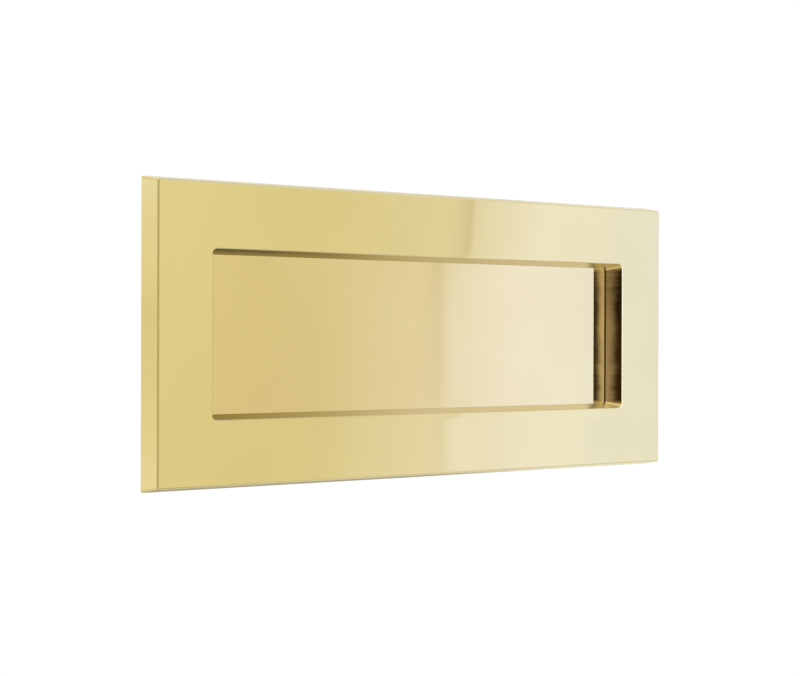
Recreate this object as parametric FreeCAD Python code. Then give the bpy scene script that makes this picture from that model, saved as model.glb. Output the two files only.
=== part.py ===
import FreeCAD, Part
import math
import os

# Letter plate: a cast brass front plate with a letter aperture, and a sprung brass flap behind it
# that swings inwards. The frame: +X to the right seen from outside the door, +Y into the door,
# +Z up. The origin is the centre of the back face of the plate, where it meets the door.
V = FreeCAD.Vector
X_AXIS = V(1, 0, 0)
Y_AXIS = V(0, 1, 0)

# Front plate
plate_width = 254.0
plate_height = 102.0
plate_thickness = 7.0
end_draft = 1.52
long_draft = 1.2
corner_radius = 0.8
edge_rounding = 0.6
border_width = 22.5
border_height = 21.77
aperture_draft = 1.58
mouth_corner_radius = 1.6
throat_corner_radius = 0.8
mouth_rounding = 0.4

# Back of the casting: a cored channel between the outer rim and the landing round the aperture
skin = 3.0
rim = 3.5
landing = 6.0
channel_corner_radius = 3.0
rib = 3.0
rib_drop = 0.8
rib_places = (-52.0, 0.0, 52.0)

# Tapped bosses for the two fixing bolts
boss_centres = 228.0
boss_radius = 4.5
boss_root_radius = 5.0
boss_height = 8.0
boss_hole_radius = 2.1
boss_hole_depth = 12.5
boss_chamfer = 0.5

# Flap
flap_width = 209.0
flap_top = 30.0
flap_bottom = -31.0
flap_thickness = 3.0
flap_gap = 0.4
flap_corner_radius = 2.0
flap_rounding = 0.4

# Hinge
axis_y = 8.0
axis_z = 32.5
rod_radius = 2.0
rod_half_length = 93.0
rod_chamfer = 0.4
barrel_radius = 4.2
running_clearance = 0.06
seat_clearance = 0.03
side_clearance = 0.15

# Lugs on the flap
lug_inner = 62.0
lug_width = 14.0
lug_pad = 2.0
lug_foot = 12.0
lug_heel = 21.0
lug_rounding = 0.5
lug_screw_z = 15.6
lug_screw_spacing = 7.6

# Brackets on the plate
ear_inner = 88.5
ear_thickness = 1.8
foot_thickness = 1.7
foot_width = 16.0
foot_bottom = 33.2
foot_top = 45.2
foot_corner_radius = 2.0
foot_recess = 1.8
ear_shoulder = 1.0
bend_radius = 1.0
bracket_screw_z = 40.6
bracket_screw_x = (95.4, 101.2)
pad_margin = 0.7

# Washers, sleeves, springs and clips on the rod
washer_thickness = 0.8
sleeve_bore = 2.1
sleeve_radius = 3.0
wire_radius = 0.55
coil_radius = 3.7
coil_turns = 7
coil_inner = 78.3
coil_outer = 86.5
wire_clearance = 0.06
plate_leg_tip_z = 37.4
flap_leg_tip_z = 12.0
clip_thickness = 0.8
clip_radius = 3.9
clip_groove_radius = 1.6
clip_mouth = 2.6
clip_lobe_radius = 0.8
clip_lobe_angle = 62.0

# Screws
screw_radius = 1.5
thread_clearance = 0.05
hole_clearance = 0.15
cheese_head_radius = 2.75
cheese_head_height = 1.8
cheese_head_rounding = 0.3
sunk_head_radius = 2.75
sunk_head_land = 0.2
slot_width = 0.8
slot_depth = 0.7
lug_screw_bite = 2.3
driver_reach = 9.0
bracket_screw_bite = 3.4

# Buffers that the flap closes against
buffer_x = 92.0
buffer_z = -28.8
buffer_radius = 1.6
buffer_depth = 2.6
buffer_proud = 0.32
buffer_rounding = 0.15

# Largest distance from a plane at which an edge counts as lying in it
tolerance = 1e-6

# How far a cutting shape runs past the face it opens
overrun = 1.0

# Derived places
front_y = -plate_thickness
floor_y = front_y + skin
front_width = plate_width - 2 * end_draft
front_height = plate_height - 2 * long_draft
aperture_width = front_width - 2 * border_width
aperture_height = front_height - 2 * border_height
aperture_back_width = aperture_width - 2 * aperture_draft
aperture_back_height = aperture_height - 2 * aperture_draft
landing_width = aperture_back_width + 2 * landing
landing_height = aperture_back_height + 2 * landing
channel_width = plate_width - 2 * rim
channel_height = plate_height - 2 * rim
flap_back = flap_gap + flap_thickness
lug_outer = lug_inner + lug_width
pad_back = flap_back + lug_pad
foot_y = -foot_recess
foot_back = foot_y + foot_thickness


def rounded_rectangle(width, height, radius, y, centre_z=0.0):
    """A closed wire in the plane of a given y, centred on x = 0."""
    a = width / 2
    b = height / 2
    corners = [(a, b, 0), (-a, b, 90), (-a, -b, 180), (a, -b, 270)]
    edges = []
    last = None
    for cx, cz, start in corners:
        mx = cx - math.copysign(radius, cx)
        mz = cz - math.copysign(radius, cz)
        points = []
        for turn in (0, 45, 90):
            angle = math.radians(start + turn)
            points.append(V(mx + radius * math.cos(angle), y, centre_z + mz + radius * math.sin(angle)))
        if last is not None:
            edges.append(Part.LineSegment(last, points[0]).toShape())
        edges.append(Part.Arc(*points).toShape())
        last = points[2]
    edges.append(Part.LineSegment(last, edges[0].Vertexes[0].Point).toShape())
    return Part.Wire(edges)


def slab(width, height, radius, y0, y1, centre_z=0.0):
    """A rounded rectangle between two depths."""
    face = Part.Face(rounded_rectangle(width, height, radius, y0, centre_z))
    return face.extrude(Y_AXIS * (y1 - y0))


def box(x0, x1, y0, y1, z0, z1):
    return Part.makeBox(x1 - x0, y1 - y0, z1 - z0, V(x0, y0, z0))


def rod_along_y(radius, y0, y1, x, z):
    return Part.makeCylinder(radius, y1 - y0, V(x, y0, z), Y_AXIS)


def rod_along_x(radius, x0, x1):
    """A cylinder on the hinge axis."""
    return Part.makeCylinder(radius, x1 - x0, V(x0, axis_y, axis_z), X_AXIS)


def extrude_profile(points, x0, x1):
    """A polygon of (y, z) points, between two places along the hinge axis."""
    corners = [V(x0, y, z) for y, z in points]
    face = Part.Face(Part.makePolygon(corners + corners[:1]))
    return face.extrude(X_AXIS * (x1 - x0))


def tangent_angle(point, radius, side):
    """Angle on a circle round the hinge axis where the line from a (y, z) point touches it."""
    dy = point[0] - axis_y
    dz = point[1] - axis_z
    return math.atan2(dz, dy) + side * math.acos(radius / math.hypot(dy, dz))


def on_circle(radius, angle):
    return (axis_y + radius * math.cos(angle), axis_z + radius * math.sin(angle))


def edges_where(shape, test):
    """Edges whose middle point passes the test."""
    found = []
    for edge in shape.Edges:
        middle = edge.valueAt((edge.FirstParameter + edge.LastParameter) / 2)
        if test(middle):
            found.append(edge)
    return found


def mirrored(shape):
    return shape.mirror(V(0, 0, 0), X_AXIS)


def make_channel():
    """The cored channel, less the ribs, the boss roots and the pads under the brackets."""
    outer = slab(channel_width, channel_height, channel_corner_radius, floor_y, 0)
    inner = slab(landing_width, landing_height, channel_corner_radius, floor_y, 0)
    keep = []
    for x in rib_places:
        keep.append(box(x - rib / 2, x + rib / 2, floor_y, -rib_drop, -plate_height / 2, plate_height / 2))
    keep.append(box(-plate_width / 2, plate_width / 2, floor_y, -rib_drop, -rib / 2, rib / 2))
    diagonal = box(0, plate_height, floor_y, -rib_drop, -rib / 2, rib / 2)
    for sx, angle in ((1, -45), (1, 45), (-1, -135), (-1, 135)):
        corner = diagonal.copy()
        corner.rotate(V(0, 0, 0), Y_AXIS, angle)
        sz = -1 if math.sin(math.radians(angle)) > 0 else 1
        corner.translate(V(sx * (landing_width / 2 - channel_corner_radius), 0,
                           sz * (landing_height / 2 - channel_corner_radius)))
        keep.append(corner)
    pad_x0 = ear_inner - pad_margin
    pad_x1 = ear_inner + foot_width + pad_margin
    pad = box(pad_x0, pad_x1, floor_y, foot_y, landing_height / 2 - overrun, plate_height / 2)
    keep.append(pad)
    keep.append(mirrored(pad))
    return outer.cut(inner).cut(keep)


def on_front(point):
    return abs(point.y - front_y) < tolerance


def on_mouth(point):
    across = abs(point.x) < aperture_width / 2 + tolerance
    return on_front(point) and across and abs(point.z) < aperture_height / 2 + tolerance


def make_front_plate():
    front = rounded_rectangle(front_width, front_height, corner_radius, front_y)
    back = rounded_rectangle(plate_width, plate_height, corner_radius, 0)
    plate = Part.makeLoft([front, back], True, True)
    plate = plate.makeFillet(edge_rounding, edges_where(plate, on_front))
    mouth = rounded_rectangle(aperture_width, aperture_height, mouth_corner_radius, front_y)
    throat = rounded_rectangle(aperture_back_width, aperture_back_height, throat_corner_radius, 0)
    plate = plate.cut(Part.makeLoft([mouth, throat], True, True))
    plate = plate.makeFillet(mouth_rounding, edges_where(plate, on_mouth))
    plate = plate.cut(make_channel())
    for x in (-boss_centres / 2, boss_centres / 2):
        boss = Part.makeCone(boss_root_radius, boss_radius, boss_height - floor_y, V(x, floor_y, 0), Y_AXIS)
        boss = boss.makeChamfer(boss_chamfer, edges_where(boss, lambda p: p.y > boss_height - tolerance))
        plate = plate.fuse(boss)
        plate = plate.cut(rod_along_y(boss_hole_radius, boss_height - boss_hole_depth, boss_height, x, 0))
        plate = plate.cut(rod_along_y(buffer_radius, -buffer_depth, 0, math.copysign(buffer_x, x), buffer_z))
        for screw_x in bracket_screw_x:
            place = math.copysign(screw_x, x)
            depth = foot_y - bracket_screw_bite - thread_clearance
            plate = plate.cut(rod_along_y(screw_radius, depth, foot_y, place, bracket_screw_z))
    return plate.removeSplitter()


def make_flap():
    height = flap_top - flap_bottom
    centre_z = (flap_top + flap_bottom) / 2
    flap = slab(flap_width, height, flap_corner_radius, flap_gap, flap_back, centre_z)
    flap = flap.makeFillet(
        flap_rounding,
        edges_where(flap, lambda p: abs(p.y - flap_gap) < tolerance or abs(p.y - flap_back) < tolerance))
    for x in lug_screw_places():
        flap = flap.cut(rod_along_y(screw_radius, flap_back - lug_screw_bite - thread_clearance,
                                    flap_back, x, lug_screw_z))
        flap = flap.cut(rod_along_y(screw_radius, flap_back - lug_screw_bite - thread_clearance,
                                    flap_back, -x, lug_screw_z))
    return flap


def lug_screw_places():
    centre = lug_inner + lug_width / 2
    return (centre - lug_screw_spacing / 2, centre + lug_screw_spacing / 2)


def make_lug():
    """Right-hand lug: a foot screwed to the back of the flap, and a barrel round the rod."""
    heel = (pad_back, lug_heel)
    touch = on_circle(barrel_radius, tangent_angle(heel, barrel_radius, 1))
    profile = [
        (flap_back, lug_foot),
        (pad_back, lug_foot),
        heel,
        touch,
        (axis_y, axis_z),
        (axis_y - barrel_radius, axis_z),
        (flap_back, flap_top - flap_rounding),
    ]
    lug = extrude_profile(profile, lug_inner, lug_outer)
    lug = lug.fuse(rod_along_x(barrel_radius, lug_inner, lug_outer)).removeSplitter()
    lug = lug.makeFillet(lug_rounding, edges_where(
        lug, lambda p: p.y > pad_back - tolerance and abs(p.z - lug_foot) < tolerance))
    lug = lug.cut(rod_along_x(rod_radius + running_clearance, lug_inner - overrun, lug_outer + overrun))
    for x in lug_screw_places():
        lug = lug.cut(rod_along_y(screw_radius + hole_clearance, flap_back - overrun,
                                  pad_back + driver_reach, x, lug_screw_z))
    return lug


def make_cheese_screw(x, z, seat_y, bite_y):
    """A slotted cheese-head screw pointing towards -Y."""
    top_y = seat_y + cheese_head_height
    head = rod_along_y(cheese_head_radius, seat_y, top_y, x, z)
    head = head.makeFillet(cheese_head_rounding, edges_where(head, lambda p: p.y > top_y - tolerance))
    shank = rod_along_y(screw_radius - thread_clearance, bite_y, seat_y, x, z)
    slot = box(x - slot_width / 2, x + slot_width / 2, top_y - slot_depth, top_y + overrun,
               z - cheese_head_radius - overrun, z + cheese_head_radius + overrun)
    return head.fuse(shank).cut(slot).removeSplitter()


def make_sunk_screw(x, z, top_y, bite_y):
    """A slotted countersunk screw pointing towards -Y, its head flush with the foot of a bracket."""
    cone_height = sunk_head_radius - screw_radius
    shank_radius = screw_radius - thread_clearance
    land = rod_along_y(sunk_head_radius, top_y - sunk_head_land, top_y, x, z)
    cone = Part.makeCone(shank_radius, sunk_head_radius, cone_height,
                         V(x, top_y - sunk_head_land - cone_height, z), Y_AXIS)
    shank = rod_along_y(shank_radius, bite_y, top_y - sunk_head_land - cone_height, x, z)
    slot = box(x - sunk_head_radius - overrun, x + sunk_head_radius + overrun,
               top_y - slot_depth, top_y + overrun, z - slot_width / 2, z + slot_width / 2)
    return land.fuse([cone, shank]).cut(slot).removeSplitter()


def make_bracket():
    """Right-hand bracket: a foot let into the back of the plate, and an ear that carries the rod."""
    outer_x = ear_inner + foot_width
    foot = box(ear_inner, outer_x, foot_y, foot_back, foot_bottom, foot_top)
    foot = foot.makeFillet(foot_corner_radius, edges_where(
        foot, lambda p: abs(p.x - outer_x) < tolerance and foot_y + tolerance < p.y < foot_back - tolerance))
    low = (foot_back, foot_bottom)
    high = (foot_back, axis_z + barrel_radius + ear_shoulder)
    ear = [
        (foot_y, foot_bottom),
        low,
        on_circle(barrel_radius, tangent_angle(low, barrel_radius, 1)),
        (axis_y, axis_z),
        on_circle(barrel_radius, tangent_angle(high, barrel_radius, -1)),
        high,
        (foot_y, high[1]),
    ]
    bracket = extrude_profile(ear, ear_inner, ear_inner + ear_thickness)
    bracket = bracket.fuse([rod_along_x(barrel_radius, ear_inner, ear_inner + ear_thickness), foot])
    bracket = bracket.removeSplitter()
    inside = edges_where(bracket, lambda p: abs(p.x - ear_inner - ear_thickness) < tolerance
                         and abs(p.y - foot_back) < tolerance and foot_bottom < p.z < high[1])
    bracket = bracket.makeFillet(bend_radius, inside)
    bracket = bracket.cut(rod_along_x(rod_radius + seat_clearance, ear_inner - overrun, outer_x))
    cone_height = sunk_head_radius - screw_radius
    for x in bracket_screw_x:
        reach = sunk_head_radius + thread_clearance
        neck_y = foot_back - sunk_head_land - cone_height
        bracket = bracket.cut(rod_along_y(screw_radius + thread_clearance, foot_y - overrun,
                                          foot_back + overrun, x, bracket_screw_z))
        bracket = bracket.cut(Part.makeCone(screw_radius + thread_clearance, reach, cone_height,
                                            V(x, neck_y - thread_clearance, bracket_screw_z), Y_AXIS))
        bracket = bracket.cut(rod_along_y(reach, neck_y + cone_height - thread_clearance,
                                          foot_back + overrun, x, bracket_screw_z))
    return bracket


def make_rod():
    """The rod, grooved near each end for a clip."""
    rod = rod_along_x(rod_radius, -rod_half_length, rod_half_length)
    rod = rod.makeChamfer(rod_chamfer, edges_where(
        rod, lambda p: abs(abs(p.x) - rod_half_length) < tolerance))
    groove_x0 = clip_x0() - thread_clearance
    groove_x1 = clip_x0() + clip_thickness + thread_clearance
    ring = rod_along_x(rod_radius + overrun, groove_x0, groove_x1)
    ring = ring.cut(rod_along_x(clip_groove_radius, groove_x0 - overrun, groove_x1 + overrun))
    return rod.cut([ring, mirrored(ring)])


def clip_x0():
    return ear_inner + ear_thickness + side_clearance


def make_clip():
    """An E-shaped clip: a ring open on one side, with two lobes cut from its bore."""
    x0 = clip_x0()
    x1 = x0 + clip_thickness
    bore = clip_groove_radius + thread_clearance
    clip = rod_along_x(clip_radius, x0, x1).cut(rod_along_x(bore, x0 - overrun, x1 + overrun))
    clip = clip.cut(box(x0 - overrun, x1 + overrun, axis_y - clip_mouth / 2, axis_y + clip_mouth / 2,
                        axis_z - clip_radius - overrun, axis_z))
    for side in (-1, 1):
        y, z = on_circle(bore + clip_lobe_radius / 2, math.radians(90 + side * clip_lobe_angle))
        clip = clip.cut(Part.makeCylinder(clip_lobe_radius, x1 - x0 + 2 * overrun,
                                        V(x0 - overrun, y, z), X_AXIS))
    return clip


def make_tube(bore, radius, x0, x1):
    return rod_along_x(radius, x0, x1).cut(rod_along_x(bore, x0 - overrun, x1 + overrun))


def coil_arc(x, angle, advance, sweep):
    """Part of one half turn of the coil: an arc whose plane leans so that a full half turn advances
    along the hinge axis. Gives the edge, its end point and its heading there."""
    middle = V(x + advance / 2, axis_y, axis_z)
    radial = V(-advance / 2, coil_radius * math.cos(angle), coil_radius * math.sin(angle))
    along = V(0, -math.sin(angle), math.cos(angle)) * radial.Length
    points = []
    for share in (0, 0.5, 1):
        points.append(middle + radial * math.cos(share * sweep) + along * math.sin(share * sweep))
    heading = along * math.cos(sweep) - radial * math.sin(sweep)
    return Part.Arc(*points).toShape(), points[2], heading.normalize()


def make_spring():
    """Right-hand torsion spring: one leg lies in the channel of the plate, the coil winds round the
    sleeve, and the other leg runs down the back of the flap."""
    plate_tip = (floor_y + wire_radius + wire_clearance, plate_leg_tip_z)
    flap_tip = (flap_back + wire_radius + wire_clearance, flap_leg_tip_z)
    start = tangent_angle(plate_tip, coil_radius, 1)
    sweep = tangent_angle(flap_tip, coil_radius, -1) - start
    sweep = sweep % (2 * math.pi) + 2 * math.pi * (coil_turns - 1)
    advance = (coil_inner - coil_outer) * math.pi / sweep
    tip = V(coil_outer, *plate_tip)
    place = V(coil_outer, *on_circle(coil_radius, start))
    edges = [Part.LineSegment(tip, place).toShape()]
    turned = 0.0
    while turned < sweep - tolerance:
        step = min(math.pi, sweep - turned)
        x = coil_outer + advance * turned / math.pi
        edge, place, heading = coil_arc(x, start + turned, advance, step)
        edges.append(edge)
        turned += step
    leg = math.hypot(flap_tip[0] - place.y, flap_tip[1] - place.z)
    edges.append(Part.LineSegment(place, place + heading * leg).toShape())
    direction = edges[1].valueAt(edges[1].FirstParameter) - tip
    section = Part.Face(Part.Wire(Part.makeCircle(wire_radius, tip, direction)))
    return Part.Wire(edges).makePipe(section)


def make_buffer():
    """Right-hand rubber button pressed into a blind hole in the landing."""
    button = rod_along_y(buffer_radius, -buffer_depth, buffer_proud, buffer_x, buffer_z)
    return button.makeFillet(buffer_rounding, edges_where(button, lambda p: p.y > buffer_proud - tolerance))


def make_bracket_screws():
    bite_y = foot_y - bracket_screw_bite
    return Part.makeCompound([make_sunk_screw(x, bracket_screw_z, foot_back, bite_y)
                              for x in bracket_screw_x])


def make_lug_screws():
    bite_y = flap_back - lug_screw_bite
    return Part.makeCompound([make_cheese_screw(x, lug_screw_z, pad_back, bite_y)
                              for x in lug_screw_places()])


def export(name, shape):
    if not shape.isValid():
        print("not valid:", name)
    shape.exportStep("parts/" + name + ".step")


def export_pair(name, shape):
    """Write the right-hand piece and its mirror image on the left."""
    export(name + "_right", shape)
    export(name + "_left", mirrored(shape))


os.makedirs("parts", exist_ok=True)
export("front_plate", make_front_plate())
export("flap", make_flap())
export("hinge_rod", make_rod())
export_pair("hinge_bracket", make_bracket())
export_pair("bracket_screws", make_bracket_screws())
export_pair("flap_lug", make_lug())
export_pair("lug_screws", make_lug_screws())
washer_x = lug_outer + side_clearance
sleeve_x = washer_x + washer_thickness + side_clearance
export_pair("thrust_washer", make_tube(sleeve_bore, barrel_radius, washer_x, washer_x + washer_thickness))
export_pair("spring_sleeve", make_tube(sleeve_bore, sleeve_radius, sleeve_x, ear_inner - side_clearance))
export_pair("torsion_spring", make_spring())
export_pair("rod_clip", make_clip())
export_pair("flap_buffer", make_buffer())
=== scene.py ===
import math
import bmesh
import bpy
from mathutils import Matrix, Vector


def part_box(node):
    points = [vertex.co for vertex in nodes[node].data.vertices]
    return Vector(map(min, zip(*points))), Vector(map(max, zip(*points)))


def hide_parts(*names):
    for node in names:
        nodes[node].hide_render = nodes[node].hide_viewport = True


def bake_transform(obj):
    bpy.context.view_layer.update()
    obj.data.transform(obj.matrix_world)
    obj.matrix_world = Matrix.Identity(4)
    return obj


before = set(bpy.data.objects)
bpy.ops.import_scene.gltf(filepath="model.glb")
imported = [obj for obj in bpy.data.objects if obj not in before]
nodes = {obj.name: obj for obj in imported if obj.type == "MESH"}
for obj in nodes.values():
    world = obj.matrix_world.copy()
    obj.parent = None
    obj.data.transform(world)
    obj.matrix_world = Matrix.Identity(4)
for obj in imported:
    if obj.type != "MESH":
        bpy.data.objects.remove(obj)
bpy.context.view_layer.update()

# The frame: +X to the right seen from outside the door, +Y into the door, +Z up, in metres
MM = 0.001
plate_low, plate_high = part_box("front_plate")
flap_low, flap_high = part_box("flap")
rod_low, rod_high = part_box("hinge_rod")
front_centre = Vector(((plate_low.x + plate_high.x) / 2, plate_low.y, (plate_low.z + plate_high.z) / 2))
hinge_y, hinge_z = rod_low.lerp(rod_high, 0.5).yz


# Camera: an eye-level view from the left, with a long lens
CAMERA_FROM_FRONT = Vector((-0.5643, -0.5628, -0.0008))
CAMERA_YAW = math.radians(44.150)
CAMERA_PITCH = math.radians(-0.015)
CAMERA_ROLL = math.radians(0.159)
LENS_MM = 100.04
SENSOR_MM = 36.0
NEAREST_SEEN = 0.01


def make_camera():
    data = bpy.data.cameras.new("camera")
    data.lens = LENS_MM
    data.sensor_width = SENSOR_MM
    data.clip_start = NEAREST_SEEN
    forward = Vector((math.sin(CAMERA_YAW) * math.cos(CAMERA_PITCH),
                      math.cos(CAMERA_YAW) * math.cos(CAMERA_PITCH), math.sin(CAMERA_PITCH)))
    right = Vector((math.cos(CAMERA_YAW), -math.sin(CAMERA_YAW), 0))
    up = right.cross(forward)
    turned_right = right * math.cos(CAMERA_ROLL) + up * math.sin(CAMERA_ROLL)
    turned_up = up * math.cos(CAMERA_ROLL) - right * math.sin(CAMERA_ROLL)
    camera = bpy.data.objects.new("camera", data)
    axes = Matrix((turned_right, turned_up, -forward)).transposed()
    camera.matrix_world = Matrix.Translation(front_centre + CAMERA_FROM_FRONT) @ axes.to_4x4()
    bpy.context.scene.collection.objects.link(camera)
    bpy.context.scene.camera = camera


class Graph:
    """Short names for building a node tree."""

    def __init__(self, tree):
        self.tree = tree
        tree.nodes.clear()

    def node(self, kind, inputs=None, **settings):
        made = self.tree.nodes.new(kind)
        for key, value in settings.items():
            setattr(made, key, value)
        for key, value in (inputs or {}).items():
            self.feed(made.inputs[key], value)
        return made

    def feed(self, socket, value):
        if isinstance(value, bpy.types.NodeSocket):
            self.tree.links.new(value, socket)
        elif socket.type == "RGBA":
            socket.default_value = colour(value)
        else:
            socket.default_value = value

    def math(self, operation, a, b=0.0, clamp=False):
        made = self.node("ShaderNodeMath", operation=operation, use_clamp=clamp)
        self.feed(made.inputs[0], a)
        self.feed(made.inputs[1], b)
        return made.outputs[0]

    def times(self, *values):
        product = values[0]
        for value in values[1:]:
            product = self.math("MULTIPLY", product, value)
        return product

    def add(self, a, b):
        return self.math("ADD", a, b)

    def less(self, a, b):
        return self.math("SUBTRACT", a, b)

    def either(self, a, b):
        return self.math("MAXIMUM", a, b)

    def no(self, value):
        return self.less(1.0, value)

    def size(self, value):
        return self.math("ABSOLUTE", value)

    def split(self, vector):
        return self.node("ShaderNodeSeparateXYZ", {"Vector": vector}).outputs

    def smooth(self, value, low, high, to_low=0.0, to_high=1.0):
        """A smooth step of a value from one level to another."""
        made = self.node("ShaderNodeMapRange", interpolation_type="SMOOTHSTEP")
        for key, number in (("Value", value), ("From Min", low), ("From Max", high),
                            ("To Min", to_low), ("To Max", to_high)):
            self.feed(made.inputs[key], number)
        return made.outputs["Result"]

    def above(self, value, edge, soft=0.0001):
        return self.smooth(value, edge - soft, edge + soft)

    def below(self, value, edge, soft=0.0001):
        return self.smooth(value, edge - soft, edge + soft, 1.0, 0.0)

    def band(self, value, low, high, soft):
        """1 between low and high, 0 outside, with soft edges."""
        return self.times(self.above(value, low, soft), self.below(value, high, soft))

    def mix(self, share, a, b):
        """Colour a where the share is 0 and colour b where it is 1."""
        made = self.node("ShaderNodeMix", {0: share, 6: a, 7: b}, data_type="RGBA")
        return made.outputs[2]

    def mix_values(self, share, a, b):
        made = self.node("ShaderNodeMix", {0: share, 2: a, 3: b}, data_type="FLOAT")
        return made.outputs[0]

    def mix_vectors(self, share, a, b):
        made = self.node("ShaderNodeMix", {0: share, 4: a, 5: b}, data_type="VECTOR")
        return made.outputs[1]

    def dot(self, a, b):
        made = self.node("ShaderNodeVectorMath", {0: a, 1: b}, operation="DOT_PRODUCT")
        return made.outputs["Value"]

    def ramp(self, value, stops):
        """A colour that runs smoothly through (level, colour) stops as the value rises."""
        low, high = stops[0][0], stops[-1][0]
        share = self.math("DIVIDE", self.less(value, low), high - low, clamp=True)
        made = self.node("ShaderNodeValToRGB", {"Fac": share})
        elements = made.color_ramp.elements
        elements.remove(elements[1])
        elements[0].position = 0.0
        for level, _ in stops[1:]:
            elements.new((level - low) / (high - low))
        for element, (_, tint) in zip(elements, stops):
            element.color = colour(tint)
        return made.outputs["Color"]

    def noise(self, vector, scale, detail=2.0, roughness=0.5, distortion=0.0):
        inputs = {"Vector": vector, "Scale": scale, "Detail": detail, "Roughness": roughness}
        made = self.node("ShaderNodeTexNoise", {**inputs, "Distortion": distortion})
        return made.outputs["Fac"]

    def cells(self, vector, scale):
        """Distance from the nearest of many scattered points, and a random colour for each point."""
        made = self.node("ShaderNodeTexVoronoi", {"Vector": vector, "Scale": scale})
        return made.outputs["Distance"], made.outputs["Color"]

    def stretch(self, vector, scale, turn=(0.0, 0.0, 0.0)):
        made = self.node("ShaderNodeMapping", {"Vector": vector, "Scale": scale, "Rotation": turn})
        return made.outputs["Vector"]

    def bump(self, height, distance, normal=None):
        made = self.node("ShaderNodeBump", {"Height": height, "Distance": distance, "Strength": 1.0})
        if normal is not None:
            self.feed(made.inputs["Normal"], normal)
        return made.outputs["Normal"]

    def edges(self, radius):
        """Near 1 on outer and inner edges, 0 on open faces."""
        rounded = self.node("ShaderNodeBevel", {"Radius": radius}, samples=4).outputs[0]
        true = self.node("ShaderNodeNewGeometry").outputs["Normal"]
        return self.smooth(self.dot(rounded, true), 0.995, 0.85)


def colour(value):
    """Three numbers as a colour with an alpha of 1."""
    return (value[0], value[1], value[2], 1.0)


# Surroundings, as colours of light by direction, at half strength so that each number stays under 1.
# Azimuth 0 is straight out of the door and 90 is to its right; elevation is up from the level.
# A band is its low end, its high end and the softness of both, all in degrees.
WORLD_STRENGTH = 2.0
BACKDROP = (0.515, 0.515, 0.515)

# The elevations that the left wall and the window reach over
LEVEL = (-8.0, 8.0, 2.0)

# All round, by azimuth
ROOM = (
    (-180.0, (0.30, 0.30, 0.30)),
    (-150.0, (0.42, 0.41, 0.36)),
    (-128.0, (0.45, 0.43, 0.33)),
    (-106.0, (0.40, 0.37, 0.28)),
    (-94.0, (0.18, 0.155, 0.11)),
    (-76.0, (0.23, 0.20, 0.205)),
    (-60.0, (0.15, 0.13, 0.09)),
    (-38.0, (0.20, 0.175, 0.12)),
    (-28.0, (0.35, 0.33, 0.37)),
    (-20.0, (0.35, 0.33, 0.37)),
    (-9.0, (0.46, 0.45, 0.40)),
    (16.0, (0.50, 0.49, 0.41)),
    (25.0, (0.455, 0.443, 0.35)),
    (52.0, (0.486, 0.54, 0.74)),
    (58.0, (0.40, 0.41, 0.42)),
    (70.0, (0.34, 0.33, 0.29)),
    (110.0, (0.32, 0.31, 0.28)),
    (124.0, (0.43, 0.425, 0.40)),
    (130.5, (0.42, 0.412, 0.38)),
    (137.0, (0.30, 0.265, 0.17)),
    (150.0, (0.24, 0.22, 0.18)),
    (180.0, (0.30, 0.30, 0.30)),
)

# A wall on the left, by elevation
LEFT_WALL_AZIMUTH = (-134.0, -106.0, 5.0)
LEFT_WALL = (
    (-4.0, (0.49, 0.472, 0.41)),
    (-2.6, (0.475, 0.447, 0.354)),
    (-1.0, (0.448, 0.424, 0.318)),
    (0.6, (0.432, 0.408, 0.301)),
    (1.6, (0.466, 0.448, 0.354)),
    (2.8, (0.468, 0.456, 0.373)),
    (4.0, (0.492, 0.490, 0.453)),
)

# A bright window on the right, by azimuth, above and below the level
WINDOW_AZIMUTH = (36.0, 52.0, 1.5)
WINDOW_BLEND = 4.7
WINDOW_ABOVE = (
    (36.0, (0.455, 0.443, 0.352)),
    (38.5, (0.455, 0.443, 0.340)),
    (40.0, (0.442, 0.430, 0.323)),
    (41.2, (0.431, 0.417, 0.310)),
    (42.5, (0.438, 0.424, 0.332)),
    (44.1, (0.443, 0.437, 0.383)),
    (45.0, (0.457, 0.449, 0.408)),
    (45.36, (0.435, 0.424, 0.386)),
    (45.62, (0.404, 0.394, 0.355)),
    (45.67, (0.410, 0.400, 0.365)),
    (45.71, (0.462, 0.463, 0.474)),
    (46.05, (0.476, 0.492, 0.535)),
    (47.5, (0.518, 0.548, 0.700)),
    (49.0, (0.515, 0.546, 0.705)),
    (49.6, (0.490, 0.540, 0.720)),
    (52.0, (0.486, 0.542, 0.740)),
)
WINDOW_BELOW = (
    (36.0, (0.440, 0.430, 0.325)),
    (38.5, (0.438, 0.420, 0.312)),
    (39.8, (0.432, 0.412, 0.304)),
    (42.4, (0.424, 0.408, 0.317)),
    (43.5, (0.451, 0.446, 0.395)),
    (45.1, (0.474, 0.470, 0.472)),
    (45.56, (0.455, 0.460, 0.472)),
    (45.66, (0.460, 0.468, 0.495)),
    (45.72, (0.482, 0.495, 0.555)),
    (46.0, (0.504, 0.523, 0.630)),
    (46.6, (0.505, 0.525, 0.637)),
    (47.5, (0.518, 0.549, 0.708)),
    (49.0, (0.518, 0.558, 0.718)),
    (49.6, (0.492, 0.540, 0.705)),
    (52.0, (0.480, 0.529, 0.702)),
)

# The window's edges lean: degrees of azimuth that they are moved by near the level, the step at
# LEAN_START above it and below it, and what each further degree of elevation adds above
LEAN_MIDDLE = 0.03
LEAN_START = 2.08
LEAN_SOFTNESS = 0.06
LEAN_ABOVE = 0.235
LEAN_BELOW = 0.39
LEAN_RATE = 0.08

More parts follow.
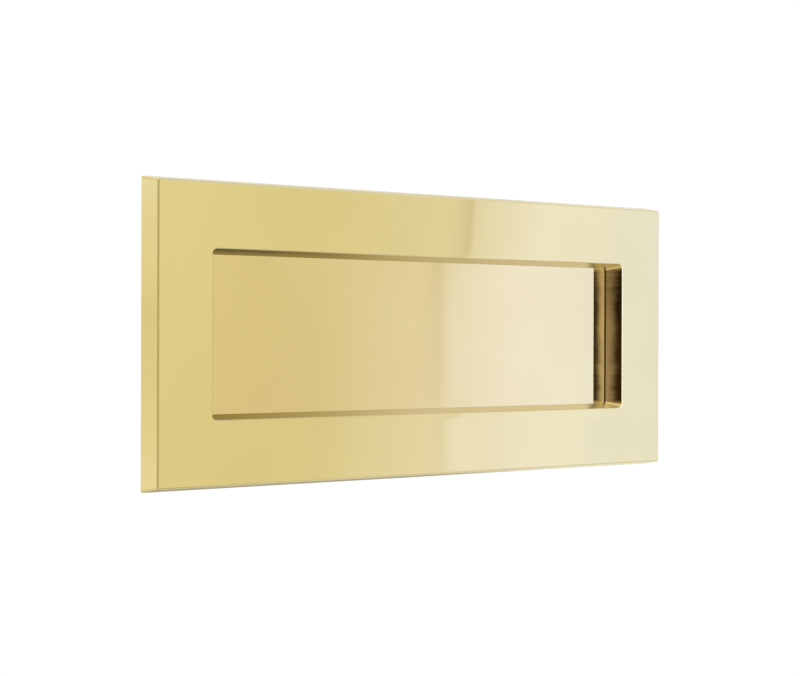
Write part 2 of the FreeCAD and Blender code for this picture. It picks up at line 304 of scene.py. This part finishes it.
# What stands over and under the window, by azimuth
SLOPE_AZIMUTH = (31.0, 55.0, 4.0)
SLOPE_TILT = (12.0, 34.0, 4.0)
SLOPE_ABOVE = (
    (34.0, (0.16, 0.14, 0.08)),
    (39.5, (0.183, 0.159, 0.092)),
    (42.5, (0.186, 0.176, 0.107)),
    (42.9, (0.179, 0.173, 0.107)),
    (43.7, (0.204, 0.192, 0.122)),
    (44.5, (0.245, 0.232, 0.162)),
    (45.8, (0.291, 0.289, 0.243)),
    (47.1, (0.365, 0.371, 0.388)),
    (48.4, (0.436, 0.453, 0.564)),
    (51.2, (0.451, 0.475, 0.57)),
    (54.0, (0.45, 0.47, 0.55)),
)
SLOPE_BELOW = (
    (34.0, (0.05, 0.04, 0.02)),
    (39.4, (0.10, 0.085, 0.045)),
    (42.5, (0.15, 0.135, 0.076)),
    (42.9, (0.186, 0.185, 0.128)),
    (43.7, (0.182, 0.166, 0.126)),
    (44.5, (0.20, 0.182, 0.130)),
    (45.8, (0.194, 0.183, 0.116)),
    (47.1, (0.239, 0.238, 0.194)),
    (48.4, (0.341, 0.343, 0.344)),
    (49.6, (0.362, 0.379, 0.413)),
    (51.2, (0.40, 0.41, 0.495)),
    (54.0, (0.42, 0.42, 0.47)),
)

# Patches of one colour: azimuth band, elevation band and colour
GLOW = (0.50, 0.49, 0.45)
LOW_SHADE = (0.21, 0.19, 0.145)
HIGH_LIGHT = (0.40, 0.385, 0.30)
DARK_PATCH = (0.09, 0.075, 0.055)
SIDE_LIGHT = (0.41, 0.40, 0.36)
PATCHES = (
    ((62.0, 120.0, 5.0), (18.0, 43.0, 4.0), GLOW),
    ((62.0, 120.0, 5.0), (-43.0, -18.0, 4.0), GLOW),
    ((133.0, 150.0, 2.0), (-32.0, -3.0, 2.0), LOW_SHADE),
    ((133.0, 150.0, 2.0), (3.0, 32.0, 2.0), HIGH_LIGHT),
    ((-84.0, -66.0, 5.0), (0.75, 1.75, 0.45), DARK_PATCH),
    ((-80.0, 20.0, 8.0), (11.0, 200.0, 2.5), SIDE_LIGHT),
    ((-80.0, 20.0, 8.0), (-200.0, -11.0, 2.5), SIDE_LIGHT),
)
CEILING = (0.40, 0.40, 0.39)
CEILING_RISE = (48.0, 74.0)
GROUND = (0.34, 0.32, 0.27)
GROUND_FALL = (-40.0, -70.0)

# Softboxes: direction, cosines at the rim and at the core, and colour
SOFTBOXES = (
    ((-0.30, 0.10, 0.95), 0.93, 0.97, (0.75, 0.76, 0.78)),
    ((0.30, 0.45, 0.84), 0.945, 0.975, (0.70, 0.70, 0.68)),
    ((-0.80, -0.10, 0.60), 0.93, 0.97, (0.62, 0.61, 0.56)),
)


def window_light(g, azimuth, elevation):
    """The window's light, its edges leaning to one side above the level and to the other below it."""
    past = g.either(g.less(elevation, LEAN_START), 0.0)
    step = g.times(g.above(elevation, LEAN_START, LEAN_SOFTNESS), LEAN_ABOVE)
    over = g.add(step, g.times(past, LEAN_RATE))
    under = g.times(g.below(elevation, -LEAN_START, LEAN_SOFTNESS), LEAN_BELOW)
    leaned = g.add(g.less(azimuth, g.add(over, LEAN_MIDDLE)), under)
    rise = g.math("ADD", g.times(elevation, 1 / WINDOW_BLEND), 0.5, clamp=True)
    return g.mix(rise, g.ramp(leaned, WINDOW_BELOW), g.ramp(leaned, WINDOW_ABOVE))


def make_world():
    world = bpy.data.worlds.new("studio")
    world.use_nodes = True
    bpy.context.scene.world = world
    g = Graph(world.node_tree)
    direction = g.node("ShaderNodeTexCoord").outputs["Generated"]
    x, y, z = g.split(direction)
    degrees = 180.0 / math.pi
    azimuth = g.times(g.math("ARCTAN2", x, g.times(y, -1.0)), degrees)
    elevation = g.times(g.math("ARCSINE", z), degrees)
    tilt = g.size(elevation)

    level = g.band(elevation, *LEVEL)
    light = g.ramp(azimuth, ROOM)
    left_wall = g.times(level, g.band(azimuth, *LEFT_WALL_AZIMUTH))
    light = g.mix(left_wall, light, g.ramp(elevation, LEFT_WALL))
    window = g.times(level, g.band(azimuth, *WINDOW_AZIMUTH))
    light = g.mix(window, light, window_light(g, azimuth, elevation))
    for across, upward, tint in PATCHES:
        light = g.mix(g.times(g.band(azimuth, *across), g.band(elevation, *upward)), light, tint)
    slope = g.times(g.band(azimuth, *SLOPE_AZIMUTH), g.band(tilt, *SLOPE_TILT))
    slope_light = g.mix(g.above(elevation, 0.0), g.ramp(azimuth, SLOPE_BELOW), g.ramp(azimuth, SLOPE_ABOVE))
    light = g.mix(slope, light, slope_light)
    light = g.mix(g.smooth(elevation, *CEILING_RISE), light, CEILING)
    light = g.mix(g.smooth(elevation, *GROUND_FALL), light, GROUND)
    for axis, rim, core, tint in SOFTBOXES:
        toward = g.dot(direction, Vector(axis).normalized())
        light = g.mix(g.smooth(toward, rim, core), light, tint)

    seen = g.node("ShaderNodeLightPath").outputs["Is Camera Ray"]
    light = g.mix(seen, light, BACKDROP)
    background = g.node("ShaderNodeBackground", {"Color": light, "Strength": WORLD_STRENGTH})
    g.node("ShaderNodeOutputWorld", {"Surface": background.outputs[0]})


FLOOR_DROP = 1.25
FLOOR_HALF = 20.0
FLOOR_GLOW = 1.03


def make_floor():
    """A plain pale floor below the piece, lit to the white of the backdrop."""
    made = bmesh.new()
    bmesh.ops.create_grid(made, x_segments=1, y_segments=1, size=FLOOR_HALF)
    mesh = bpy.data.meshes.new("studio_floor")
    made.to_mesh(mesh)
    made.free()
    floor = bpy.data.objects.new("studio_floor", mesh)
    floor.location = (0.0, 0.0, plate_low.z - FLOOR_DROP)
    bpy.context.scene.collection.objects.link(floor)
    material, g = new_material("pale_floor")
    light = g.node("ShaderNodeEmission", {"Color": (1.0, 1.0, 1.0), "Strength": FLOOR_GLOW})
    finish_material(g, light)
    mesh.materials.append(material)
    floor.visible_glossy = False
    floor.visible_shadow = False


# Lamps: place and power
LAMP_SIZE = 0.7
LAMPS = (
    ("key_lamp", (-0.5, -0.7, 1.1), 10.0),
    ("rear_lamp", (0.6, 0.9, 0.9), 6.0),
)


def make_lamp(name, place, watts):
    """A soft lamp aimed at the middle of the piece, which no mirror shows."""
    data = bpy.data.lights.new(name, "AREA")
    data.shape = "DISK"
    data.size = LAMP_SIZE
    data.energy = watts
    lamp = bpy.data.objects.new(name, data)
    lamp.location = place
    lamp.rotation_euler = (Vector(place) - front_centre).to_track_quat("Z", "Y").to_euler()
    lamp.visible_glossy = False
    bpy.context.scene.collection.objects.link(lamp)


def new_material(name):
    material = bpy.data.materials.new(name)
    material.use_nodes = True
    return material, Graph(material.node_tree)


def finish_material(g, shader):
    g.node("ShaderNodeOutputMaterial", {"Surface": shader.outputs[0]})


def begin(name):
    """A new material with its graph, the place on the object and the way the surface faces."""
    material, g = new_material(name)
    coordinates = g.node("ShaderNodeTexCoord")
    return material, g, coordinates.outputs["Object"], coordinates.outputs["Normal"]


def rubbed_lines(g, place, stretch):
    """Fine lines left by a wheel or a belt, along the axis with the smallest stretch."""
    return g.noise(g.stretch(place, stretch), 1.0, 3.0, 0.6)


def metal(g, tint, rough, normal, **more):
    inputs = {"Base Color": tint, "Metallic": 1.0, "Roughness": rough, "Normal": normal}
    inputs.update(more)
    finish_material(g, g.node("ShaderNodeBsdfPrincipled", inputs))


def plastic(g, tint, rough, normal):
    inputs = {"Base Color": tint, "Roughness": rough, "Normal": normal}
    finish_material(g, g.node("ShaderNodeBsdfPrincipled", inputs))


# Colours
PLATE_TINT = (0.83, 0.71, 0.378)
PLATE_CLOUD = (0.812, 0.692, 0.366)
# The flap's colour at its left and right ends; the change between them is a painted reflection
FLAP_LEFT_TINT = (0.812, 0.658, 0.356)
FLAP_RIGHT_TINT = (0.862, 0.742, 0.428)
FLAP_CLOUD = (0.78, 0.62, 0.32)
FLAP_BACK_TINT = (0.76, 0.60, 0.30)
ROLLED_SHADE = (0.45, 0.33, 0.15)
PIT_TINT = (0.40, 0.28, 0.12)
# Painted shade for the walls of the opening
WALL_SHADE_TINT = (0.075, 0.046, 0.014)
BELT_LIGHT = (0.80, 0.66, 0.35)
BELT_SHADE = (0.66, 0.53, 0.27)
CAST_TINT = (0.60, 0.45, 0.20)
CAST_SHADE = (0.36, 0.25, 0.11)
CAST_GRAIN = (0.72, 0.56, 0.28)
PATINA_TINT = (0.55, 0.38, 0.17)
LUG_TINT = (0.66, 0.50, 0.23)
LUG_SHADE = (0.46, 0.33, 0.15)
LUG_GRAIN = (0.30, 0.20, 0.09)
LUG_EDGE = (0.86, 0.72, 0.40)
ZINC_BLUE = (0.70, 0.715, 0.735)
ZINC_YELLOW = (0.735, 0.72, 0.66)
ZINC_GREY = (0.62, 0.665, 0.70)
ZINC_GRAIN = (0.42, 0.43, 0.44)
ZINC_EDGE = (0.85, 0.85, 0.84)
BLACK_TINT = (0.055, 0.055, 0.06)
BLACK_CLOUD = (0.11, 0.11, 0.115)
BLACK_EDGE = (0.34, 0.34, 0.34)
DUST = (0.5, 0.48, 0.44)
# Painted highlight for the opening's right edge
EDGE_HIGHLIGHT_TINT = (1.0, 0.97, 0.84)
# Painted shade for the plate's outer left edge and the opening's left edge
PAINTED_EDGE_SHADE = (0.70, 0.59, 0.255)
# Painted light: a paler colour for the rough walls near the right end of the opening
BRUSHED_PAINTED_LIGHT = (1.0, 0.90, 0.62)
DULL_EDGE_ROUGHNESS = 0.6
BRUSHED_ROUGHNESS = 0.4

# Places on the plate, measured from its centre and from its back face, and heights of textures
OPENING_HALF_X = 103.1 * MM
OPENING_HALF_Z = 28.2 * MM
OPENING_EDGE = 1.0 * MM
LANDING_HALF_X = 104.5 * MM
LANDING_HALF_Z = 30.0 * MM
RIM_HALF_X = plate_high.x - 3.3 * MM
RIM_HALF_Z = plate_high.z - 3.3 * MM
CHANNEL_FLOOR_Y = -4.3 * MM
BACK_MARGIN = 0.12 * MM
BACK_SOFTNESS = 0.06 * MM
BOSS_FROM_Y = 0.1 * MM
BOSS_SOFTNESS = 0.05 * MM
EDGE_DEPTH = 0.7 * MM
CORNER_Z = 26.0 * MM
CORNER_SOFTNESS = 1.2 * MM
# Where the painted shade on the opening's walls runs: it starts and is full at these x, and fades towards
# the back by this y
WALL_SHADE_FROM_X = -20.0 * MM
WALL_SHADE_FULL_X = -98.0 * MM
WALL_SHADE_END_Y = 0.2 * MM
# Where the rougher walls with painted light begin, near the right end of the opening
BRUSHED_FROM_X = 84.0 * MM
BRUSHED_SOFTNESS = 5.0 * MM
BOSS_X = 114.0 * MM
BORE_RADIUS = 2.3 * MM
BORE_SKIN = 1.0 * MM
THREAD_PITCH = 0.8 * MM
THREAD_DEPTH = 0.7 * MM
WAVE_HEIGHT = 22e-3 * MM
SAND_HEIGHT = 70e-3 * MM
LUG_SAND_HEIGHT = 45e-3 * MM
RUBBED_HEIGHT = 3e-3 * MM
BELT_HEIGHT = 6e-3 * MM
ROLLED_HEIGHT = 5e-3 * MM
ZINC_HEIGHT = 10e-3 * MM
BLACK_HEIGHT = 12e-3 * MM
FLAP_TWIST = math.radians(0.235)
LUG_WORN_RADIUS = 0.5 * MM
TURNED_WORN_RADIUS = 0.25 * MM
ZINC_WORN_RADIUS = 0.3 * MM
BLACK_WORN_RADIUS = 0.15 * MM


def plate_regions(g, place, facing):
    """Each kind of surface on the plate, as a share from 0 to 1."""
    x, y, z = g.split(place)
    face_x, face_y, face_z = g.split(facing)
    off_x = g.size(x)
    off_z = g.size(z)
    flat = g.size(face_y)
    shares = {}

    inside = g.times(g.below(off_x, OPENING_HALF_X), g.below(off_z, OPENING_HALF_Z))
    wall = g.times(inside, g.below(flat, 0.8, 0.1))
    sideways = g.above(g.size(face_z), 0.5, 0.15)
    shares["wall"] = wall
    # Top and bottom walls near the right end: rougher, and paler with painted light
    shares["brushed"] = g.times(wall, g.above(x, BRUSHED_FROM_X, BRUSHED_SOFTNESS), sideways)
    # Painted shade on the opening's walls: on the end walls, and on the top wall towards its left end
    on_end = g.times(g.above(g.size(face_x), 0.5, 0.15), g.below(off_z, CORNER_Z, CORNER_SOFTNESS))
    toward_corner = g.times(g.smooth(x, WALL_SHADE_FROM_X, WALL_SHADE_FULL_X), g.below(face_z, 0.0, 0.3), 0.9)
    shares["stained"] = g.times(wall, g.either(on_end, toward_corner))

    past_landing = g.either(g.above(off_x, LANDING_HALF_X), g.above(off_z, LANDING_HALF_Z))
    within_rim = g.times(g.below(off_x, RIM_HALF_X), g.below(off_z, RIM_HALF_Z))
    below_back = g.band(y, CHANNEL_FLOOR_Y, -BACK_MARGIN, BACK_SOFTNESS)
    cored = g.times(past_landing, within_rim, below_back)
    shares["cast"] = g.either(cored, g.above(y, BOSS_FROM_Y, BOSS_SOFTNESS))
    at_back = g.band(y, -BACK_MARGIN, BACK_MARGIN, BACK_SOFTNESS)
    shares["ground"] = g.times(g.above(face_y, 0.7, 0.1), at_back)

    at_front = g.below(y, plate_low.y + EDGE_DEPTH)
    beside_x = g.below(off_x, OPENING_HALF_X + OPENING_EDGE)
    near_opening = g.times(beside_x, g.below(off_z, OPENING_HALF_Z + OPENING_EDGE))
    away = g.times(at_front, g.no(near_opening))
    # The plate's outer left edge and the rounding of the opening's left edge: rougher, and darkened with
    # painted shade
    left_end = g.times(g.above(flat, 0.45, 0.02), away, g.below(face_x, -0.05, 0.03))
    rounding = g.times(g.band(flat, 0.45, 0.985, 0.02), at_front, near_opening)
    shares["dull_edge"] = g.either(left_end, g.times(rounding, g.above(face_x, 0.15, 0.1)))
    # Painted highlight: a near-white, non-metallic band on the rounding of the opening's right edge
    highlight_band = g.times(g.band(flat, 0.64, 0.985, 0.02), at_front, near_opening)
    shares["worn_edge"] = g.times(highlight_band, g.below(face_x, -0.15, 0.1))
    return shares


def boss_thread(g, place, facing):
    """Share of the surface inside the tapped holes, and the height of the thread there."""
    x, y, z = g.split(place)
    flat = g.size(g.split(facing)[1])
    from_hole = g.less(g.size(x), BOSS_X)
    radius = g.math("SQRT", g.add(g.times(from_hole, from_hole), g.times(z, z)))
    deep = g.above(y, plate_low.y + BORE_SKIN)
    in_hole = g.times(g.below(radius, BORE_RADIUS), g.below(flat, 0.5, 0.1), deep)
    turn = g.times(g.math("ARCTAN2", z, from_hole), 1 / (2 * math.pi))
    return in_hole, g.math("PINGPONG", g.add(g.times(y, 1 / THREAD_PITCH), turn), 0.5)


def plate_brass():
    """Mirror on the front and sides, walls in the opening with painted shade, linished back, as-cast
    channel, and painted light and shade on some edges.
    """
    material, g, place, facing = begin("polished_brass_plate")
    region = plate_regions(g, place, facing)

    cloud = g.noise(place, 22.0, 3.0)
    shade = g.mix(g.smooth(cloud, 0.35, 0.65), PLATE_TINT, PLATE_CLOUD)
    hairline = rubbed_lines(g, place, (90.0, 90.0, 2600.0))
    rough = g.smooth(hairline, 0.3, 0.75, 0.008, 0.016)
    normal = g.bump(g.noise(place, 11.0, 1.0), WAVE_HEIGHT)

    # Painted shade on the opening's walls, deepest near the front edge, broken up by the rubbed marks and
    # blotches
    depth = g.smooth(g.split(place)[1], plate_low.y, WALL_SHADE_END_Y)
    marks = rubbed_lines(g, place, (260.0, 110.0, 900.0))
    blotch = g.noise(place, 130.0, 2.0)
    uneven = g.add(g.times(marks, 0.35), g.times(blotch, 0.65))
    unshaded = g.smooth(g.add(depth, g.less(uneven, 0.5)), 0.08, 1.04)
    shade = g.mix(g.times(region["stained"], g.no(unshaded)), shade, WALL_SHADE_TINT)
    rough = g.mix_values(region["wall"], rough, g.smooth(marks, 0.3, 0.7, 0.05, 0.11))
    # Near the right end the walls are rougher and painted paler, as painted light
    rough = g.mix_values(region["brushed"], rough, BRUSHED_ROUGHNESS)
    shade = g.mix(region["brushed"], shade, BRUSHED_PAINTED_LIGHT)
    normal = g.mix_vectors(region["wall"], normal, g.bump(marks, RUBBED_HEIGHT, normal))

    # Painted highlight on the opening's right edge
    shade = g.mix(region["worn_edge"], shade, EDGE_HIGHLIGHT_TINT)
    # Painted shade and more roughness on the left edges
    shade = g.mix(region["dull_edge"], shade, PAINTED_EDGE_SHADE)
    rough = g.mix_values(region["dull_edge"], rough, DULL_EDGE_ROUGHNESS)

    belt = rubbed_lines(g, place, (40.0, 400.0, 5200.0))
    shade = g.mix(region["ground"], shade, g.mix(belt, BELT_LIGHT, BELT_SHADE))
    rough = g.mix_values(region["ground"], rough, g.smooth(belt, 0.25, 0.75, 0.2, 0.36))
    normal = g.mix_vectors(region["ground"], normal, g.bump(belt, BELT_HEIGHT))

    sand = g.noise(place, 1500.0, 4.0, 0.65)
    scale_patch = g.noise(place, 160.0, 3.0)
    sand_shade = g.mix(g.smooth(scale_patch, 0.35, 0.7), CAST_TINT, CAST_SHADE)
    sand_shade = g.mix(g.smooth(sand, 0.35, 0.75, 0.0, 0.5), sand_shade, CAST_GRAIN)
    in_hole, thread = boss_thread(g, place, facing)
    sand_normal = g.mix_vectors(in_hole, g.bump(sand, SAND_HEIGHT), g.bump(thread, THREAD_DEPTH))
    shade = g.mix(region["cast"], shade, sand_shade)
    rough = g.mix_values(region["cast"], rough, g.smooth(sand, 0.2, 0.8, 0.38, 0.62))
    normal = g.mix_vectors(region["cast"], normal, sand_normal)
    # The painted highlight on the opening's right edge is not metallic
    metal(g, shade, rough, normal, Metallic=g.no(region["worn_edge"]))
    return material


def flap_brass():
    """Mirror front with a few pits and a painted reflection that grows paler to the right, and a back
    dulled by handling.
    """
    material, g, place, facing = begin("polished_brass_flap")
    x = g.split(place)[0]
    behind = g.above(g.split(facing)[1], 0.3, 0.15)

    # Painted reflection: the flap's front grows paler towards its right end
    shade = g.mix(g.smooth(x, flap_low.x, flap_high.x), FLAP_LEFT_TINT, FLAP_RIGHT_TINT)
    cloud = g.noise(place, 18.0, 3.0)
    shade = g.mix(g.smooth(cloud, 0.3, 0.7, 0.0, 0.35), shade, FLAP_CLOUD)
    distance, chance = g.cells(g.stretch(place, (1.0, 0.0, 1.0)), 95.0)
    rare = g.above(g.split(chance)[0], 0.9, 0.01)
    pit = g.times(g.below(distance, 0.026, 0.014), rare, g.no(behind))
    shade = g.mix(g.times(pit, 0.6), shade, PIT_TINT)
    hairline = rubbed_lines(g, place, (2600.0, 90.0, 90.0))
    rough = g.smooth(hairline, 0.3, 0.75, 0.020, 0.036)
    twist = g.bump(g.times(x, -math.tan(FLAP_TWIST)), 1.0)
    normal = g.bump(g.noise(place, 9.0, 1.0), WAVE_HEIGHT, twist)

    patch = g.noise(place, 45.0, 4.0, 0.6)
    smear = g.noise(g.stretch(place, (18.0, 50.0, 90.0)), 1.0, 4.0, 0.6)
    dull = g.smooth(g.add(g.times(patch, 0.6), g.times(smear, 0.4)), 0.38, 0.66)
    rolled = rubbed_lines(g, place, (25.0, 300.0, 3800.0))
    back_shade = g.mix(dull, FLAP_BACK_TINT, PATINA_TINT)
    back_shade = g.mix(g.times(rolled, 0.35), back_shade, ROLLED_SHADE)
    matt = g.add(g.times(dull, 0.5), g.times(rolled, 0.5))
    shade = g.mix(behind, shade, back_shade)
    rough = g.mix_values(behind, rough, g.smooth(matt, 0.2, 0.8, 0.16, 0.38))
    normal = g.mix_vectors(behind, normal, g.bump(rolled, ROLLED_HEIGHT))
    metal(g, shade, rough, normal)
    return material


def cast_brass():
    """Sand-cast brass, fettled bright on its edges."""
    material, g, place, _ = begin("cast_brass")
    sand = g.noise(place, 1300.0, 4.0, 0.65)
    blotch = g.noise(place, 210.0, 3.0)
    shade = g.mix(g.smooth(blotch, 0.3, 0.7), LUG_TINT, LUG_SHADE)
    shade = g.mix(g.smooth(sand, 0.5, 0.8, 0.0, 0.5), shade, LUG_GRAIN)
    edge = g.times(g.edges(LUG_WORN_RADIUS), g.smooth(g.noise(place, 500.0, 2.0), 0.3, 0.55))
    shade = g.mix(edge, shade, LUG_EDGE)
    rough = g.mix_values(edge, g.smooth(sand, 0.2, 0.8, 0.3, 0.55), 0.16)
    metal(g, shade, rough, g.bump(sand, LUG_SAND_HEIGHT))
    return material


def turned_metal(name, tint, shade_tint, low, high, height):
    """Turned or drawn metal: fine lines round or along it, small scratches, brighter edges."""
    material, g, place, _ = begin(name)
    fine = g.noise(g.stretch(place, (5200.0, 900.0, 900.0)), 1.0, 3.0, 0.6)
    scratch = g.noise(g.stretch(place, (500.0, 2500.0, 500.0), (0.3, 0.5, 0.2)), 1.0, 2.0, 0.7)
    blotch = g.noise(place, 260.0, 3.0)
    shade = g.mix(g.smooth(g.add(g.times(fine, 0.5), g.times(blotch, 0.5)), 0.35, 0.65), tint, shade_tint)
    edge = g.edges(TURNED_WORN_RADIUS)
    shade = g.mix(g.times(edge, 0.5), shade, tuple(min(1.0, 1.15 * c) for c in tint))
    rough = g.smooth(g.add(g.times(fine, 0.6), g.times(scratch, 0.4)), 0.3, 0.7, low, high)
    metal(g, shade, rough, g.bump(fine, height))
    return material


def plated_steel():
    """Zinc plate over pressed steel: faint cloudy colour, rolled grain, grey where rubbed."""
    material, g, place, _ = begin("plated_steel")
    grain = g.noise(place, 2200.0, 3.0, 0.6)
    rolled = rubbed_lines(g, place, (60.0, 700.0, 2600.0))
    cloud = g.noise(place, 150.0, 3.0, 0.55, 0.6)
    shade = g.mix(g.smooth(cloud, 0.35, 0.5), ZINC_BLUE, ZINC_YELLOW)
    shade = g.mix(g.smooth(cloud, 0.5, 0.65), shade, ZINC_GREY)
    shade = g.mix(g.smooth(grain, 0.45, 0.8, 0.0, 0.4), shade, ZINC_GRAIN)
    edge = g.edges(ZINC_WORN_RADIUS)
    shade = g.mix(g.times(edge, 0.6), shade, ZINC_EDGE)
    both = g.add(g.times(grain, 0.5), g.times(rolled, 0.5))
    metal(g, shade, g.smooth(both, 0.3, 0.7, 0.2, 0.4), g.bump(both, ZINC_HEIGHT))
    return material


def black_steel():
    """Phosphated spring steel, oiled, worn grey on its edges."""
    material, g, place, _ = begin("black_spring_steel")
    grain = g.noise(place, 3000.0, 3.0, 0.6)
    shade = g.mix(g.smooth(grain, 0.3, 0.7), BLACK_TINT, BLACK_CLOUD)
    edge = g.edges(BLACK_WORN_RADIUS)
    shade = g.mix(g.times(edge, 0.7), shade, BLACK_EDGE)
    metal(g, shade, g.smooth(grain, 0.2, 0.8, 0.32, 0.55), g.bump(grain, BLACK_HEIGHT), Metallic=0.7)
    return material


def moulded(name, tint, shade_tint, low, high, height, scale):
    """Plastic or rubber with a fine skin, cloudy tone and a little dust."""
    material, g, place, _ = begin(name)
    skin = g.noise(place, scale, 3.0, 0.6)
    cloud = g.noise(place, 380.0, 3.0)
    shade = g.mix(g.smooth(cloud, 0.3, 0.7), tint, shade_tint)
    dust = g.smooth(g.noise(place, scale * 1.7, 1.0), 0.66, 0.78, 0.0, 0.35)
    shade = g.mix(dust, shade, DUST)
    plastic(g, shade, g.smooth(skin, 0.2, 0.8, low, high), g.bump(skin, height))
    return material


def dress(node, material):
    for slot in nodes[node].material_slots:
        slot.material = material


# Torsion springs: wire swept along a straight leg, an even coil and a second straight leg
WIRE_RADIUS = 0.55 * MM
COIL_RADIUS = 3.7 * MM
COIL_TURNS = 7
COIL_INNER = 78.3 * MM
COIL_OUTER = 86.5 * MM
LEG_CLEARANCE = 0.06 * MM
PLATE_LEG_TIP_Z = 37.4 * MM
FLAP_LEG_TIP_Z = 12.0 * MM
WIRE_SIDES = 20
STEPS_PER_TURN = 48
LEG_STEPS = 8
TIP_ROUNDING = 0.12 * MM


def tangent_angle(point, side):
    """Angle on the coil's circle where a straight leg to the point leaves it."""
    away = Vector((point[0] - hinge_y, point[1] - hinge_z))
    return math.atan2(away.y, away.x) + side * math.acos(COIL_RADIUS / away.length)


def on_coil(x, angle):
    return Vector((x, hinge_y + COIL_RADIUS * math.cos(angle), hinge_z + COIL_RADIUS * math.sin(angle)))


def spring_path():
    """Centre of the right-hand spring's wire, from the tip on the plate to the tip on the flap."""
    low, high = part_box("torsion_spring_right")
    plate_tip = (low.y + WIRE_RADIUS, PLATE_LEG_TIP_Z)
    flap_tip = (flap_high.y + WIRE_RADIUS + LEG_CLEARANCE, FLAP_LEG_TIP_Z)
    start = tangent_angle(plate_tip, 1)
    sweep = (tangent_angle(flap_tip, -1) - start) % (2 * math.pi) + 2 * math.pi * (COIL_TURNS - 1)
    first = Vector((COIL_OUTER, *plate_tip))
    last = Vector((COIL_INNER, *flap_tip))
    points = [first.lerp(on_coil(COIL_OUTER, start), step / LEG_STEPS) for step in range(LEG_STEPS)]
    steps = round(STEPS_PER_TURN * sweep / (2 * math.pi))
    for step in range(steps + 1):
        share = step / steps
        points.append(on_coil(COIL_OUTER + (COIL_INNER - COIL_OUTER) * share, start + sweep * share))
    points += [points[-1].lerp(last, step / LEG_STEPS) for step in range(1, LEG_STEPS + 1)]
    return points


def swept_wire(name, points):
    """A round wire along the points, with rounded tips."""
    headings = []
    for index in range(len(points)):
        ahead = points[min(index + 1, len(points) - 1)]
        back = points[max(index - 1, 0)]
        headings.append((ahead - back).normalized())
    rings = [(points[0], headings[0], WIRE_RADIUS - TIP_ROUNDING)]
    rings += [(points[0] + headings[0] * TIP_ROUNDING, headings[0], WIRE_RADIUS)]
    rings += [(p, h, WIRE_RADIUS) for p, h in zip(points[1:-1], headings[1:-1])]
    rings += [(points[-1] - headings[-1] * TIP_ROUNDING, headings[-1], WIRE_RADIUS)]
    rings += [(points[-1], headings[-1], WIRE_RADIUS - TIP_ROUNDING)]
    made = bmesh.new()
    across = Vector((1, 0, 0))
    loops = []
    for centre, heading, radius in rings:
        across = (across - heading * across.dot(heading)).normalized()
        other = heading.cross(across)
        loop = []
        for side in range(WIRE_SIDES):
            angle = 2 * math.pi * side / WIRE_SIDES
            outwards = across * math.cos(angle) + other * math.sin(angle)
            loop.append(made.verts.new(centre + outwards * radius))
        loops.append(loop)
    for before, after in zip(loops, loops[1:]):
        for side in range(WIRE_SIDES):
            following = (side + 1) % WIRE_SIDES
            made.faces.new((before[side], before[following], after[following], after[side]))
    made.faces.new(reversed(loops[0]))
    made.faces.new(loops[-1])
    for face in made.faces:
        face.smooth = len(face.verts) == 4
    bmesh.ops.recalc_face_normals(made, faces=made.faces)
    mesh = bpy.data.meshes.new(name)
    made.to_mesh(mesh)
    made.free()
    wire = bpy.data.objects.new(name, mesh)
    bpy.context.scene.collection.objects.link(wire)
    return wire


def make_springs(material):
    for side, sign in (("right", 1), ("left", -1)):
        points = [Vector((p.x * sign, p.y, p.z)) for p in spring_path()]
        wire = swept_wire("coil_spring_" + side, points)
        wire.data.materials.append(material)
        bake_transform(wire)
        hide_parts("torsion_spring_" + side)


make_camera()
make_world()
make_floor()
for lamp_name, lamp_place, lamp_watts in LAMPS:
    make_lamp(lamp_name, lamp_place, lamp_watts)

# Two tints, the least and greatest roughness, and the height of the surface texture;
# for the mouldings also how fine the texture is
BRASS_SCREW = ((0.80, 0.66, 0.34), (0.66, 0.52, 0.25), 0.12, 0.3, 5e-6)
BRIGHT_STEEL = ((0.68, 0.68, 0.675), (0.52, 0.52, 0.52), 0.1, 0.26, 4e-6)
PLATED_SCREW = ((0.72, 0.72, 0.71), (0.55, 0.555, 0.56), 0.14, 0.34, 5e-6)
SPRING_STEEL = ((0.60, 0.60, 0.59), (0.42, 0.415, 0.405), 0.16, 0.34, 5e-6)
ACETAL = ((0.86, 0.85, 0.80), (0.80, 0.785, 0.73), 0.28, 0.42, 6e-6, 2400.0)
NYLON = ((0.76, 0.73, 0.62), (0.69, 0.655, 0.54), 0.34, 0.5, 8e-6, 2000.0)
RUBBER = ((0.022, 0.022, 0.022), (0.04, 0.04, 0.038), 0.55, 0.8, 16e-6, 2600.0)

finishes = {
    "front_plate": plate_brass(),
    "flap": flap_brass(),
    "flap_lug": cast_brass(),
    "lug_screws": turned_metal("brass_screw", *BRASS_SCREW),
    "hinge_rod": turned_metal("bright_steel", *BRIGHT_STEEL),
    "hinge_bracket": plated_steel(),
    "bracket_screws": turned_metal("plated_screw", *PLATED_SCREW),
    "rod_clip": black_steel(),
    "thrust_washer": moulded("acetal", *ACETAL),
    "spring_sleeve": moulded("nylon", *NYLON),
    "flap_buffer": moulded("rubber", *RUBBER),
}
spring_wire = turned_metal("spring_steel", *SPRING_STEEL)
for name in nodes:
    kind = name.removesuffix("_left").removesuffix("_right")
    dress(name, finishes.get(kind, spring_wire))
make_springs(spring_wire)

bpy.context.scene.view_settings.view_transform = "Standard"
